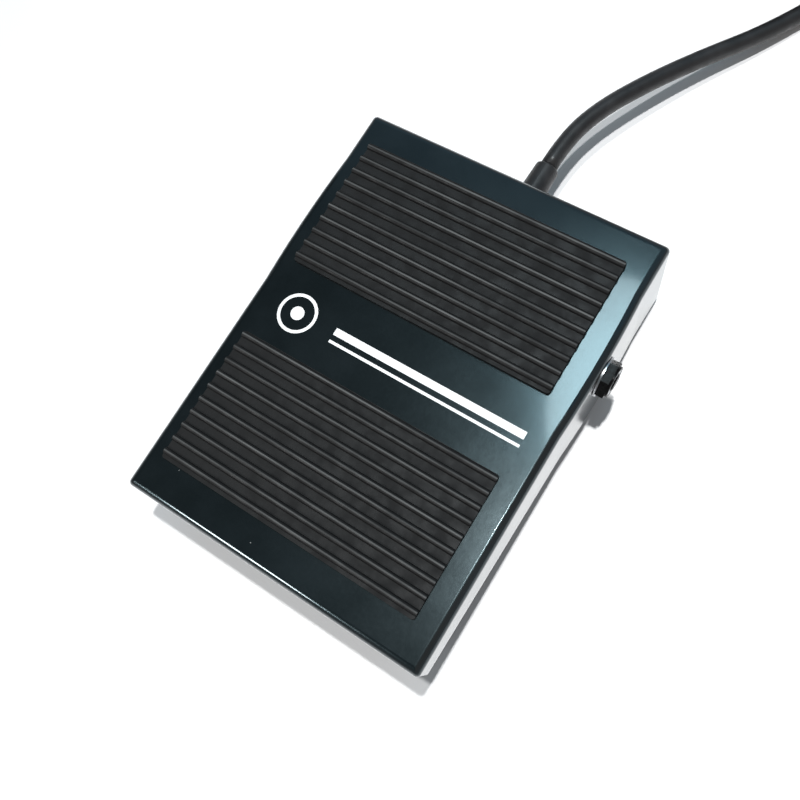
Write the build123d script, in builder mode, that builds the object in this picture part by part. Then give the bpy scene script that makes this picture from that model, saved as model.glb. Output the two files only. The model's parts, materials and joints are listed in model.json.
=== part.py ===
from build123d import *

import os
from math import atan2, cos, degrees, pi, radians, sin, tan

# Sustain pedal, in millimetres. X runs right, Y to the rear, where the lead leaves, and Z up.
# The origin is on the floor under the middle of the tread.
#
# The tread is a folded steel lid that rocks on two shoulder bolts in the side walls of a folded
# steel pan. A coil spring holds its front up against two rubber pads at the rear, and a snap
# switch stands under it. The lead leaves through the rear wall, is coiled, and ends in a plug.

os.makedirs("parts", exist_ok=True)

# --- Driving dimensions ---------------------------------------------------------------------
SHEET = 1.2  # steel of the lid and of the pan

COVER_WIDTH = 70.0
COVER_LENGTH = 94.5
COVER_TOP = 25.5  # height of the plate's top face
COVER_CORNER = 0.9  # plan corners outside
INNER_CORNER = 0.4  # and inside the skirts
COVER_FOLD = 1.6
SKIRT_FRONT = 15.0  # height of the skirt's lower edge at the front
SKIRT_REAR = 1.8  # and at the rear
REAR_LIP = 18.2  # lower edge of the short lip over the lead
SWELL = 0.45  # the skirts bow out this far beside the pivot
SWELL_HALF = 16.0

PIVOT_Y = 19.5
PIVOT_Z = 19.5
TRAVEL_DEG = 3.6  # how far the tread tips when it is pressed

PAN_WIDTH = 66.0
PAN_LENGTH = 90.2
PAN_BOTTOM = 2.2
PAN_CORNER = 2.4
PAN_FRONT_TOP = 16.5
PAN_REAR_TOP = 20.5
PAN_EAR_TOP = 23.4  # the side walls rise to carry the pivot
FLANGE = 8.5

PAD_WIDTH = 60.3
PAD_DEPTH = 30.6
PAD_SLAB = 0.8
PAD_SHIFT_X = -0.9
PAD_CENTRES_Y = {"front": -23.8, "rear": 24.75}
RIB_COUNT = 10
RIB_PITCH = 3.14
RIB_RADIUS = 0.7
PEG_RADIUS = 1.45
PEG_HEAD = 2.3
PEG_OFFSETS = ((-24, -9), (24, -9), (-24, 9), (24, 9))

GLAND_X = 1.0
GLAND_Z = 12.0
GLAND_END = 58.6  # the lead leaves the strain relief here
GLAND_NECK = 3.4
CORD_RADIUS = 2.0

THREAD_M4 = 2.0
SCREW_M3 = 1.5
CLEAR = 0.05  # radial play of a screw in its hole, and of a sleeve in the skirt

SPRING_X = 0.0
SPRING_Y = -27.0
SPRING_RADIUS = 5.6  # to the middle of the wire
SPRING_WIRE = 0.6
SPRING_TURNS = 6

FOOT_HEIGHT = PAN_BOTTOM
FOOT_RADIUS = 5.0
FOOT_PLACES = ((-26, -38), (26, -38), (-26, 37), (26, 37))

# The snap switch, by its outer box
SWITCH_X = -10.0
SWITCH_WIDTH = 6.4
SWITCH_FRONT = -12.0
SWITCH_REAR = 7.8
SWITCH_BOTTOM = 8.2
SWITCH_TOP = 18.4
SWITCH_HOLES = ((2.65, 10.0), (-6.85, 10.0))
TERMINAL_YS = (5.5, -1.9, -9.2)
PLUNGER_Y = 2.3
PLUNGER_TOP = 19.55
LEVER_Y = 6.8
LEVER_Z = 19.4
LEVER_LENGTH = 19.3
LEVER_REST_DEG = 7.0
TAB_Y = -8.0
TAB_BOTTOM = 21.6

# Where the put-away coil lies
COIL_X = 14.0
COIL_Y = 158.0
COIL_TURN_RADII = (17.4, 25.6)  # innermost and outermost turn, to the middle of the lead
COIL_LAYER_ZS = (2.95, 15.25)  # lowest and highest layer
COIL_SLACK = 0.1
TIE_THICKNESS = 0.8
TIE_WIDTH = 9.0

# The lead's route, by hand: from the strain relief to the coil, and from the coil to the plug
LEAD_OUT = (
    (GLAND_X, GLAND_END, GLAND_Z),
    (GLAND_X, 66.4, 12.0),
    (3.6, 76.6, 11.3),
    (9.2, 88.4, 9.5),
    (16.6, 101.4, 6.9),
    (25.6, 114.8, 4.4),
    (33.6, 129.2, 3.1),
    (38.7, 141.2, 2.95),
    (39.6, 149.8, 2.95),
)
LEAD_TAIL = (
    (39.6, 160.0, 15.2),
    (39.6, 169.0, 14.0),
    (37.6, 180.6, 11.1),
    (31.2, 191.2, 8.0),
    (21.5, 198.0, 6.3),
    (12.5, 203.2, 6.3),
)

# --- Derived places -------------------------------------------------------------------------
PLATE_UNDER = COVER_TOP - SHEET
PAN_FLOOR = PAN_BOTTOM + SHEET
PAN_SIDE = PAN_WIDTH / 2
PAN_REAR = PAN_LENGTH / 2
SKIRT_OUTSIDE = COVER_WIDTH / 2 + SWELL  # beside the pivot
SKIRT_INSIDE = SKIRT_OUTSIDE - SHEET

# The stack on each pivot bolt, outwards from the pan's side wall
BUSH_SHOULDER = SKIRT_INSIDE - 0.15
BUSH_END = SKIRT_OUTSIDE + 0.1
WASHER_END = BUSH_END + 0.3
NUT_END = WASHER_END + 1.7
NUT_COLLAR = 0.5
INSERT_DEPTH = 0.8
INSERT_RADIUS = 2.9
BOLT_END = NUT_END + NUT_COLLAR + 0.3
LEFT_HEAD_END = WASHER_END + 1.35
BUSH_RADIUS = 3.0
NUT_RADIUS = 7.0 / 2 / cos(pi / 6)  # M4, 7 mm across the flats

SWITCH_LEFT = SWITCH_X - SWITCH_WIDTH / 2
SWITCH_RIGHT = SWITCH_X + SWITCH_WIDTH / 2
BRACKET_LEFT = SWITCH_LEFT - SHEET
LID = 0.8

SPRING_SEAT_TOP = PAN_FLOOR + 1.0
CLAMP_Y = (9.5, 14.5)
JACKET_END = 6.5
CLAMP_CORD_Z = PAN_FLOOR + 0.1 + CORD_RADIUS
CLAMP_SCREW_XS = (GLAND_X - 6.5, GLAND_X + 6.5)
BRACKET_SCREWS = ((-19.2, -9.0), (-19.2, 5.0))
CLAMP_SCREWS = tuple((x, sum(CLAMP_Y) / 2) for x in CLAMP_SCREW_XS)

COIL_INNER = COIL_TURN_RADII[0] - CORD_RADIUS - COIL_SLACK
COIL_OUTER = COIL_TURN_RADII[1] + CORD_RADIUS + COIL_SLACK
COIL_BOTTOM = COIL_LAYER_ZS[0] - CORD_RADIUS - COIL_SLACK
COIL_TOP = COIL_LAYER_ZS[1] + CORD_RADIUS + COIL_SLACK


# --- Shared shapes --------------------------------------------------------------------------
def fastener_profile(head_radius, head_height, shank_radius, shank_length):
    """Half outline of a screw whose axis is the sketch's Y axis, its head standing on y = 0."""
    with BuildSketch(Plane.XZ) as outline:
        with Locations((head_radius / 2, head_height / 2)):
            Rectangle(head_radius, head_height)
        with Locations((shank_radius / 2, -shank_length / 2)):
            Rectangle(shank_radius, shank_length)
        top_corner = outline.vertices().group_by(Axis.Z)[-1].sort_by(Axis.X)[-1]
        fillet(top_corner, 0.45 * head_height)
    return outline.sketch


def turning_plane(start, direction):
    """Plane whose X runs along a turned part's axis, and whose Y points up from it."""
    return Plane(origin=start, x_dir=direction, z_dir=Vector(direction).cross(Vector(0, 0, 1)))


def turned(outline, start, direction):
    """Solid of revolution about a line, from (distance along it, radius) points."""
    with BuildPart() as piece:
        with BuildSketch(turning_plane(start, direction)):
            Polygon(*outline, align=None)
        revolve(axis=Axis(start, direction))
    return piece


def corner_radii(name, points):
    """Arc radius at each corner: 0.45 of its shorter run over the tangent of half its turn."""
    radii = []
    for before, corner, after in zip(points, points[1:], points[2:]):
        run_in = Vector(corner) - Vector(before)
        run_out = Vector(after) - Vector(corner)
        half_turn = radians(run_in.get_angle(run_out)) / 2
        radii.append(0.45 * min(run_in.length, run_out.length) / tan(half_turn))
    print(name, "radii", [round(radius, 1) for radius in radii])
    return radii


def report_tube(name, tube, path, radius):
    """Prints how near a tube's volume is to its section times its length."""
    length = sum(edge.length for edge in path.edges())
    share = tube.volume / (pi * radius**2 * length)
    print(name, "length", round(length, 1), "volume over section times length", round(share, 4))


# --- Tread ----------------------------------------------------------------------------------
def cover_outline(inset):
    """Rounded rectangle whose long sides swell a little beside the pivot, in the open sketch."""
    side = COVER_WIDTH / 2 - inset
    corner = max(COVER_CORNER - inset, INNER_CORNER)
    RectangleRounded(2 * side, COVER_LENGTH - 2 * inset, corner)
    with BuildLine() as swell:
        ThreePointArc(
            (side, PIVOT_Y - SWELL_HALF),
            (side + SWELL, PIVOT_Y),
            (side, PIVOT_Y + SWELL_HALF),
        )
        Line((side, PIVOT_Y + SWELL_HALF), (side, PIVOT_Y - SWELL_HALF))
    make_face(swell.edges())
    mirror(about=Plane.YZ)


with BuildPart() as tread_cover:
    with BuildSketch(Plane.XY.offset(COVER_TOP)):
        cover_outline(0)
    extrude(amount=-COVER_TOP)
    fillet(tread_cover.faces().sort_by(Axis.Z)[-1].edges(), COVER_FOLD)
    with BuildSketch(Plane.XY.offset(PLATE_UNDER)):
        cover_outline(SHEET)
    extrude(amount=-COVER_TOP, mode=Mode.SUBTRACT)
    # The skirts are shallow at the front and deep at the rear
    with BuildSketch(Plane.YZ.offset(-COVER_WIDTH)):
        Polygon(
            (-COVER_LENGTH, -1),
            (-COVER_LENGTH, SKIRT_FRONT),
            (-COVER_LENGTH / 2, SKIRT_FRONT),
            (COVER_LENGTH / 2, SKIRT_REAR),
            (COVER_LENGTH, SKIRT_REAR),
            (COVER_LENGTH, -1),
            align=None,
        )
    extrude(amount=2 * COVER_WIDTH, mode=Mode.SUBTRACT)
    # Only a short lip closes the rear, above the lead
    with BuildSketch(Plane.XZ.offset(-COVER_LENGTH / 2 - 1)):
        with Locations((0, REAR_LIP / 2)):
            Rectangle(COVER_WIDTH - 2 * SHEET, REAR_LIP)
    extrude(amount=1 + 2 * SHEET, mode=Mode.SUBTRACT)
    with BuildSketch(Plane.YZ.offset(-COVER_WIDTH)):
        with Locations((PIVOT_Y, PIVOT_Z)):
            Circle(BUSH_RADIUS + CLEAR)
    extrude(amount=2 * COVER_WIDTH, mode=Mode.SUBTRACT)
    for centre_y in PAD_CENTRES_Y.values():
        with Locations([(PAD_SHIFT_X + x, centre_y + y, COVER_TOP) for x, y in PEG_OFFSETS]):
            Hole(PEG_RADIUS + CLEAR, depth=2 * SHEET)
tread_cover.part.label = "tread_cover"
export_step(tread_cover.part, "parts/tread_cover.step")


def ribbed_pad(centre_y):
    """Rubber pad with cross ribs, held by studs pulled through the plate."""
    rear_rib = centre_y + PAD_DEPTH / 2 - RIB_RADIUS - 0.15
    corner = (PAD_SHIFT_X, centre_y)
    with BuildPart() as pad:
        with BuildSketch(Plane.XY.offset(COVER_TOP)):
            with Locations(corner):
                Rectangle(PAD_WIDTH, PAD_DEPTH)
        extrude(amount=PAD_SLAB)
        with BuildSketch(Plane.YZ.offset(PAD_SHIFT_X - PAD_WIDTH / 2)):
            with Locations([(rear_rib - i * RIB_PITCH, COVER_TOP + PAD_SLAB) for i in range(RIB_COUNT)]):
                Circle(RIB_RADIUS)
        extrude(amount=PAD_WIDTH)
        with BuildSketch(Plane.XY.offset(COVER_TOP)):
            with Locations(corner):
                RectangleRounded(PAD_WIDTH, PAD_DEPTH, 0.6)
        extrude(amount=PAD_SLAB + RIB_RADIUS, mode=Mode.INTERSECT)
        with Locations(*[(PAD_SHIFT_X + x, centre_y + y, PLATE_UNDER) for x, y in PEG_OFFSETS]):
            Cylinder(PEG_RADIUS, SHEET, align=(Align.CENTER, Align.CENTER, Align.MIN))
            Cylinder(PEG_HEAD, 0.9, align=(Align.CENTER, Align.CENTER, Align.MAX))
    return pad


front_pad = ribbed_pad(PAD_CENTRES_Y["front"])
front_pad.part.label = "front_pad"
export_step(front_pad.part, "parts/front_pad.step")

rear_pad = ribbed_pad(PAD_CENTRES_Y["rear"])
rear_pad.part.label = "rear_pad"
export_step(rear_pad.part, "parts/rear_pad.step")

with BuildPart() as actuator_tab:
    with BuildSketch(Plane.YZ.offset(SWITCH_X - 4)):
        with Locations((TAB_Y + 3.5, PLATE_UNDER - 0.5)):
            Rectangle(8, 1)
        with Locations((TAB_Y, (PLATE_UNDER + TAB_BOTTOM) / 2)):
            Rectangle(1, PLATE_UNDER - TAB_BOTTOM)
    extrude(amount=8)
    fillet(actuator_tab.edges().filter_by(Axis.X).group_by(Axis.Z)[0], 0.4)
actuator_tab.part.label = "actuator_tab"
export_step(actuator_tab.part, "parts/actuator_tab.step")

with BuildPart() as spring_locator:
    with BuildSketch(Plane.XY.offset(PLATE_UNDER)):
        with Locations((SPRING_X, SPRING_Y)):
            Circle(4.3)
    extrude(amount=-2.5)
    chamfer(spring_locator.edges().group_by(Axis.Z)[0], 0.6)
spring_locator.part.label = "spring_locator"
export_step(spring_locator.part, "parts/spring_locator.step")

# --- Base pan and what stands on it -----------------------------------------------------------
PAN_HOLES = (*FOOT_PLACES, *BRACKET_SCREWS, *CLAMP_SCREWS, (SPRING_X, SPRING_Y))
REST_BUMPERS = ((-20, 40.6), (20, 40.6))
STOP_BUMPERS = ((-20, -40.2), (20, -40.2))
BUMPER_RADIUS = 3.2
BUMPER_STEM = 1.5
STOP_REACH = PIVOT_Y - STOP_BUMPERS[0][1] + BUMPER_RADIUS
STOP_DROP = STOP_REACH * sin(radians(TRAVEL_DEG)) + 0.05
STOP_TOP = PLATE_UNDER - STOP_DROP

with BuildPart() as base_pan:
    with BuildSketch(Plane.XY.offset(PAN_BOTTOM)):
        RectangleRounded(PAN_WIDTH, PAN_LENGTH, PAN_CORNER)
    extrude(amount=PAN_EAR_TOP - PAN_BOTTOM)
    fillet(base_pan.faces().sort_by(Axis.Z)[0].edges(), SHEET)
    with BuildSketch(Plane.XY.offset(PAN_FLOOR)):
        RectangleRounded(PAN_WIDTH - 2 * SHEET, PAN_LENGTH - 2 * SHEET, PAN_CORNER - SHEET)
    extrude(amount=PAN_EAR_TOP, mode=Mode.SUBTRACT)
    # The walls' upper edge: low at the front, an ear at each pivot, lower again at the rear
    with BuildSketch(Plane.YZ.offset(-PAN_WIDTH)):
        Polygon(
            (-PAN_LENGTH, PAN_FRONT_TOP),
            (-6, PAN_FRONT_TOP),
            (PIVOT_Y - 7, PAN_EAR_TOP),
            (PIVOT_Y + 7, PAN_EAR_TOP),
            (PIVOT_Y + 13.5, PAN_REAR_TOP),
            (PAN_LENGTH, PAN_REAR_TOP),
            (PAN_LENGTH, PAN_LENGTH),
            (-PAN_LENGTH, PAN_LENGTH),
            align=None,
        )
    extrude(amount=2 * PAN_WIDTH, mode=Mode.SUBTRACT)
    # Flanges folded in at the front and the rear carry the rubber stops
    for wall, top in ((-PAN_REAR, PAN_FRONT_TOP), (PAN_REAR, PAN_REAR_TOP)):
        inward = FLANGE if wall < 0 else -FLANGE
        with BuildSketch(Plane.XY.offset(top)):
            with Locations((0, wall + inward / 2)):
                Rectangle(PAN_WIDTH - 2 * PAN_CORNER, FLANGE)
        extrude(amount=-SHEET)
    for places, top in ((STOP_BUMPERS, PAN_FRONT_TOP), (REST_BUMPERS, PAN_REAR_TOP)):
        with Locations(*[(x, y, top) for x, y in places]):
            Hole(BUMPER_STEM + CLEAR, depth=2 * SHEET)
    with Locations(*[(x, y, PAN_FLOOR) for x, y in PAN_HOLES]):
        Hole(SCREW_M3 + CLEAR, depth=2 * SHEET)
    with BuildSketch(Plane.XZ.offset(-PAN_REAR)):
        with Locations((GLAND_X, GLAND_Z)):
            Circle(GLAND_NECK + CLEAR)
    extrude(amount=SHEET, mode=Mode.SUBTRACT)
    with BuildSketch(Plane.YZ.offset(-PAN_WIDTH)):
        with Locations((PIVOT_Y, PIVOT_Z)):
            Circle(THREAD_M4 + CLEAR)
    extrude(amount=2 * PAN_WIDTH, mode=Mode.SUBTRACT)
base_pan.part.label = "base_pan"
export_step(base_pan.part, "parts/base_pan.step")

with BuildPart() as rubber_feet:
    with BuildSketch():
        with Locations(*FOOT_PLACES):
            Circle(FOOT_RADIUS)
    extrude(amount=FOOT_HEIGHT)
    chamfer(rubber_feet.edges().group_by(Axis.Z)[0], 0.4)
    with Locations(*[(x, y, 0) for x, y in FOOT_PLACES]):
        Cylinder(2.9, 1.2, align=(Align.CENTER, Align.CENTER, Align.MIN), mode=Mode.SUBTRACT)
        Cylinder(
            SCREW_M3 + CLEAR, FOOT_HEIGHT, align=(Align.CENTER, Align.CENTER, Align.MIN), mode=Mode.SUBTRACT
        )
rubber_feet.part.label = "rubber_feet"
export_step(rubber_feet.part, "parts/rubber_feet.step")

# Each foot's screw comes up from below, its head sunk in the rubber
with BuildPart() as foot_screws:
    with Locations(*[Location((x, y, 1.2), (180, 0, 0)) for x, y in FOOT_PLACES]):
        add(revolve(fastener_profile(2.6, 0.9, SCREW_M3, 4.2), axis=Axis.Z, mode=Mode.PRIVATE))
foot_screws.part.label = "foot_screws"
export_step(foot_screws.part, "parts/foot_screws.step")


def bumpers(places, shelf, top):
    """Rubber buttons standing on a flange, each with a stem through it."""
    with BuildPart() as pair:
        with BuildSketch(Plane.XY.offset(shelf)):
            with Locations(*places):
                Circle(BUMPER_RADIUS)
        extrude(amount=top - shelf)
        fillet(pair.edges().group_by(Axis.Z)[-1], 0.6)
        with BuildSketch(Plane.XY.offset(shelf)):
            with Locations(*places):
                Circle(BUMPER_STEM)
        extrude(amount=-SHEET - 1)
    return pair


rest_bumpers = bumpers(REST_BUMPERS, PAN_REAR_TOP, PLATE_UNDER - 0.1)
rest_bumpers.part.label = "rest_bumpers"
export_step(rest_bumpers.part, "parts/rest_bumpers.step")

stop_bumpers = bumpers(STOP_BUMPERS, PAN_FRONT_TOP, STOP_TOP)
stop_bumpers.part.label = "stop_bumpers"
export_step(stop_bumpers.part, "parts/stop_bumpers.step")


# --- Pivots -----------------------------------------------------------------------------------
# Each bolt clamps a shouldered bush and a washer to the pan's side wall, and the tread's skirt
# turns on the bush. On the right the nut is outside. On the left it is inside the pan, and only
# the bolt's low head shows.
def side_plane(distance):
    return Plane.YZ.offset(distance)


def pivot_disc(start, end, radius, mode=Mode.ADD):
    """Disc on the pivots' axis, between two distances along X, in the open part."""
    with BuildSketch(side_plane(start)) as outline:
        with Locations((PIVOT_Y, PIVOT_Z)):
            Circle(radius)
    extrude(outline.sketch, amount=end - start, mode=mode)


def pivot_hexagon(start, end):
    """The same for a hexagon of the nut's size."""
    with BuildSketch(side_plane(start)) as outline:
        with Locations((PIVOT_Y, PIVOT_Z)):
            RegularPolygon(NUT_RADIUS, 6)
    extrude(outline.sketch, amount=end - start)


def pivot_bush(side):
    with BuildPart() as bush:
        pivot_disc(side * PAN_SIDE, side * BUSH_SHOULDER, 4.2)
        pivot_disc(side * BUSH_SHOULDER, side * BUSH_END, BUSH_RADIUS)
        pivot_disc(side * PAN_SIDE, side * BUSH_END, THREAD_M4 + CLEAR, Mode.SUBTRACT)
    return bush


def pivot_washer(side, radius):
    with BuildPart() as washer:
        pivot_disc(side * BUSH_END, side * WASHER_END, radius)
        pivot_disc(side * BUSH_END, side * WASHER_END, THREAD_M4 + CLEAR, Mode.SUBTRACT)
    return washer


def lock_nut(seat, thickness):
    """Hexagon nut on a seat, with a round collar that holds its insert, away from the seat."""
    away = 1 if thickness > 0 else -1
    rim = seat + thickness + away * NUT_COLLAR
    with BuildPart() as nut:
        pivot_hexagon(seat, seat + thickness)
        pivot_disc(seat + thickness, rim, 3.3)
        pivot_disc(seat, rim, THREAD_M4 + CLEAR, Mode.SUBTRACT)
        pivot_disc(rim - away * INSERT_DEPTH, rim, INSERT_RADIUS, Mode.SUBTRACT)
    with BuildPart() as insert:
        pivot_disc(rim - away * INSERT_DEPTH, rim - away * 0.05, INSERT_RADIUS - CLEAR)
        pivot_disc(rim - away * INSERT_DEPTH, rim, THREAD_M4 + CLEAR, Mode.SUBTRACT)
    return nut, insert


pivot_bush_right = pivot_bush(1)
pivot_bush_right.part.label = "pivot_bush_right"
export_step(pivot_bush_right.part, "parts/pivot_bush_right.step")

pivot_bush_left = pivot_bush(-1)
pivot_bush_left.part.label = "pivot_bush_left"
export_step(pivot_bush_left.part, "parts/pivot_bush_left.step")

pivot_washer_right = pivot_washer(1, 4.3)
pivot_washer_right.part.label = "pivot_washer_right"
export_step(pivot_washer_right.part, "parts/pivot_washer_right.step")

pivot_washer_left = pivot_washer(-1, 3.9)
pivot_washer_left.part.label = "pivot_washer_left"
export_step(pivot_washer_left.part, "parts/pivot_washer_left.step")

with BuildPart() as pivot_bolt_right:
    pivot_hexagon(PAN_SIDE - SHEET - 2.8, PAN_SIDE - SHEET)
    pivot_disc(PAN_SIDE - SHEET, BOLT_END, THREAD_M4)
    fillet(pivot_bolt_right.faces().filter_by(Axis.X).sort_by(Axis.X)[-1].edges(), 0.7)
pivot_bolt_right.part.label = "pivot_bolt_right"
export_step(pivot_bolt_right.part, "parts/pivot_bolt_right.step")

pivot_bolt_left = turned(
    (
        (PAN_SIDE - SHEET - 3.5, 0),
        (PAN_SIDE - SHEET - 3.5, THREAD_M4 - 0.4),
        (PAN_SIDE - SHEET - 3.1, THREAD_M4),
        (WASHER_END, THREAD_M4),
        (WASHER_END, 3.4),
        (WASHER_END + 0.35, 3.3),
        (WASHER_END + 0.85, 2.5),
        (LEFT_HEAD_END, 1.5),
        (LEFT_HEAD_END, 0),
    ),
    Vector(0, PIVOT_Y, PIVOT_Z),
    Vector(-1, 0, 0),
)
pivot_bolt_left.part.label = "pivot_bolt_left"
export_step(pivot_bolt_left.part, "parts/pivot_bolt_left.step")

lock_nut_right, nut_insert_right = lock_nut(WASHER_END, NUT_END - WASHER_END)
lock_nut_right.part.label = "lock_nut_right"
export_step(lock_nut_right.part, "parts/lock_nut_right.step")
nut_insert_right.part.label = "nut_insert_right"
export_step(nut_insert_right.part, "parts/nut_insert_right.step")

lock_nut_left, nut_insert_left = lock_nut(SHEET - PAN_SIDE, 2.4)
lock_nut_left.part.label = "lock_nut_left"
export_step(lock_nut_left.part, "parts/lock_nut_left.step")
nut_insert_left.part.label = "nut_insert_left"
export_step(nut_insert_left.part, "parts/nut_insert_left.step")

# --- Return spring ----------------------------------------------------------------------------
with BuildPart() as spring_seat:
    with BuildSketch(Plane.XY.offset(PAN_FLOOR)):
        with Locations((SPRING_X, SPRING_Y)):
            Circle(7.2)
    extrude(amount=SPRING_SEAT_TOP - PAN_FLOOR)
    with BuildSketch(Plane.XY.offset(SPRING_SEAT_TOP)):
        with Locations((SPRING_X, SPRING_Y)):
            Circle(4.6)
    extrude(amount=3)
    with Locations((SPRING_X, SPRING_Y, SPRING_SEAT_TOP + 3)):
        Hole(SCREW_M3 + CLEAR)
spring_seat.part.label = "spring_seat"
export_step(spring_seat.part, "parts/spring_seat.step")

with BuildPart() as spring_seat_screw:
    with Locations((SPRING_X, SPRING_Y, SPRING_SEAT_TOP + 3)):
        add(revolve(fastener_profile(2.7, 1.8, SCREW_M3, 5.6), axis=Axis.Z, mode=Mode.PRIVATE))
spring_seat_screw.part.label = "spring_seat_screw"
export_step(spring_seat_screw.part, "parts/spring_seat_screw.step")

SPRING_LOW = SPRING_SEAT_TOP + SPRING_WIRE
SPRING_HIGH = PLATE_UNDER - SPRING_WIRE
with BuildPart() as return_spring:
    with BuildLine() as coil_line:
        Helix(
            pitch=(SPRING_HIGH - SPRING_LOW) / SPRING_TURNS,
            height=SPRING_HIGH - SPRING_LOW,
            radius=SPRING_RADIUS,
            center=(SPRING_X, SPRING_Y, SPRING_LOW),
        )
    with BuildSketch(Plane(origin=coil_line.line @ 0, z_dir=coil_line.line % 0)):
        Circle(SPRING_WIRE)
    sweep(is_frenet=True)
return_spring.part.label = "return_spring"
export_step(return_spring.part, "parts/return_spring.step")

# --- Snap switch ------------------------------------------------------------------------------
SWITCH_MIDDLE = (SWITCH_FRONT + SWITCH_REAR) / 2
SWITCH_LENGTH = SWITCH_REAR - SWITCH_FRONT
CAVITY = (11.8, 17.0)  # bottom and top of the room for the contacts
PIN_RADIUS = 0.45
PLUNGER_RADIUS = 1.2


def through_switch(start, end, places, radius, mode=Mode.ADD):
    """Discs along X at (y, z) places, from one X to another."""
    with BuildSketch(Plane.YZ.offset(start)) as outline:
        with Locations(*places):
            Circle(radius)
    extrude(outline.sketch, amount=end - start, mode=mode)


with BuildPart() as switch_case:
    with BuildSketch(Plane.YZ.offset(SWITCH_LEFT)):
        with Locations((SWITCH_MIDDLE, (SWITCH_BOTTOM + SWITCH_TOP) / 2)):
            RectangleRounded(SWITCH_LENGTH, SWITCH_TOP - SWITCH_BOTTOM, 0.5)
    extrude(amount=SWITCH_WIDTH - LID)
    # Room for the contacts, open towards the lid
    with BuildSketch(Plane.YZ.offset(SWITCH_LEFT + 1)):
        with Locations((SWITCH_MIDDLE, sum(CAVITY) / 2)):
            Rectangle(SWITCH_LENGTH - 3, CAVITY[1] - CAVITY[0])
    extrude(amount=SWITCH_WIDTH, mode=Mode.SUBTRACT)
    # Two ears hold the lever's pin
    for ear in (SWITCH_LEFT, SWITCH_RIGHT - LID - 0.8):
        with BuildSketch(Plane.YZ.offset(ear)):
            with Locations((LEVER_Y, LEVER_Z - 0.4)):
                Rectangle(1.9, 2.6)
        extrude(amount=0.8)
    through_switch(SWITCH_LEFT, SWITCH_RIGHT, [(LEVER_Y, LEVER_Z)], PIN_RADIUS + CLEAR, Mode.SUBTRACT)
    through_switch(SWITCH_LEFT, SWITCH_RIGHT, SWITCH_HOLES, 1.15, Mode.SUBTRACT)
    with Locations((SWITCH_X, PLUNGER_Y, SWITCH_TOP)):
        Hole(PLUNGER_RADIUS + CLEAR, depth=3)
    for y in TERMINAL_YS:
        with BuildSketch(Plane.XY.offset(SWITCH_BOTTOM)):
            with Locations((SWITCH_X, y)):
                Rectangle(3.3, 0.6)
        extrude(amount=CAVITY[0] - SWITCH_BOTTOM + 0.1, mode=Mode.SUBTRACT)
switch_case.part.label = "switch_case"
export_step(switch_case.part, "parts/switch_case.step")

with BuildPart() as switch_lid:
    with BuildSketch(Plane.YZ.offset(SWITCH_RIGHT - LID)):
        with Locations((SWITCH_MIDDLE, (SWITCH_BOTTOM + SWITCH_TOP) / 2)):
            RectangleRounded(SWITCH_LENGTH, SWITCH_TOP - SWITCH_BOTTOM, 0.5)
    extrude(amount=LID)
    through_switch(SWITCH_RIGHT - LID, SWITCH_RIGHT, SWITCH_HOLES, 1.15, Mode.SUBTRACT)
switch_lid.part.label = "switch_lid"
export_step(switch_lid.part, "parts/switch_lid.step")

with BuildPart() as switch_terminals:
    with BuildSketch(Plane.XY.offset(4.4)):
        with Locations(*[(SWITCH_X, y) for y in TERMINAL_YS]):
            Rectangle(3.2, 0.5)
    extrude(amount=CAVITY[0] + 0.8 - 4.4)
switch_terminals.part.label = "switch_terminals"
export_step(switch_terminals.part, "parts/switch_terminals.step")

# The blade is riveted to the rear terminal's head and reaches over the front one
with BuildPart() as contact_blade:
    with BuildSketch(Plane.YZ.offset(SWITCH_X - 1.4)):
        Polygon(
            (6.0, 12.62),
            (6.0, 12.92),
            (4.6, 12.92),
            (-9.4, 13.9),
            (-9.4, 13.6),
            (4.6, 12.62),
            align=None,
        )
    extrude(amount=2.8)
contact_blade.part.label = "contact_blade"
export_step(contact_blade.part, "parts/contact_blade.step")

with BuildPart() as switch_plunger:
    with BuildSketch(Plane.XY.offset(14.5)):
        with Locations((SWITCH_X, PLUNGER_Y)):
            Circle(PLUNGER_RADIUS)
    extrude(amount=PLUNGER_TOP - 14.5)
    fillet(switch_plunger.edges().group_by(Axis.Z)[-1], 0.4)
    with BuildSketch(Plane.XY.offset(15.7)):
        with Locations((SWITCH_X, PLUNGER_Y)):
            Circle(1.8)
    extrude(amount=0.8)
switch_plunger.part.label = "switch_plunger"
export_step(switch_plunger.part, "parts/switch_plunger.step")

with BuildPart() as lever_pin:
    through_switch(SWITCH_LEFT, SWITCH_RIGHT - LID, [(LEVER_Y, LEVER_Z)], PIN_RADIUS)
lever_pin.part.label = "lever_pin"
export_step(lever_pin.part, "parts/lever_pin.step")

# The lever's strip starts tangent to its rolled eye and slopes up to the front
lever_plane = Plane(
    origin=(SWITCH_X, LEVER_Y, LEVER_Z), x_dir=(1, 0, 0), z_dir=(0, 0, 1)
).rotated((-LEVER_REST_DEG, 0, 0))
LEVER_EYE = 0.85
LEVER_WIDTH = SWITCH_WIDTH - LID - 2 * 0.8 - 0.2
with BuildPart() as switch_lever:
    eye_left = SWITCH_LEFT + 0.8 + 0.1
    through_switch(eye_left, eye_left + LEVER_WIDTH, [(LEVER_Y, LEVER_Z)], LEVER_EYE)
    with BuildSketch(lever_plane.offset(-0.2)):
        with Locations((-LID / 2, -LEVER_LENGTH / 2)):
            RectangleRounded(LEVER_WIDTH, LEVER_LENGTH, 0.6)
    extrude(amount=0.4)
    through_switch(eye_left, eye_left + LEVER_WIDTH, [(LEVER_Y, LEVER_Z)], PIN_RADIUS + CLEAR, Mode.SUBTRACT)
switch_lever.part.label = "switch_lever"
export_step(switch_lever.part, "parts/switch_lever.step")

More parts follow.
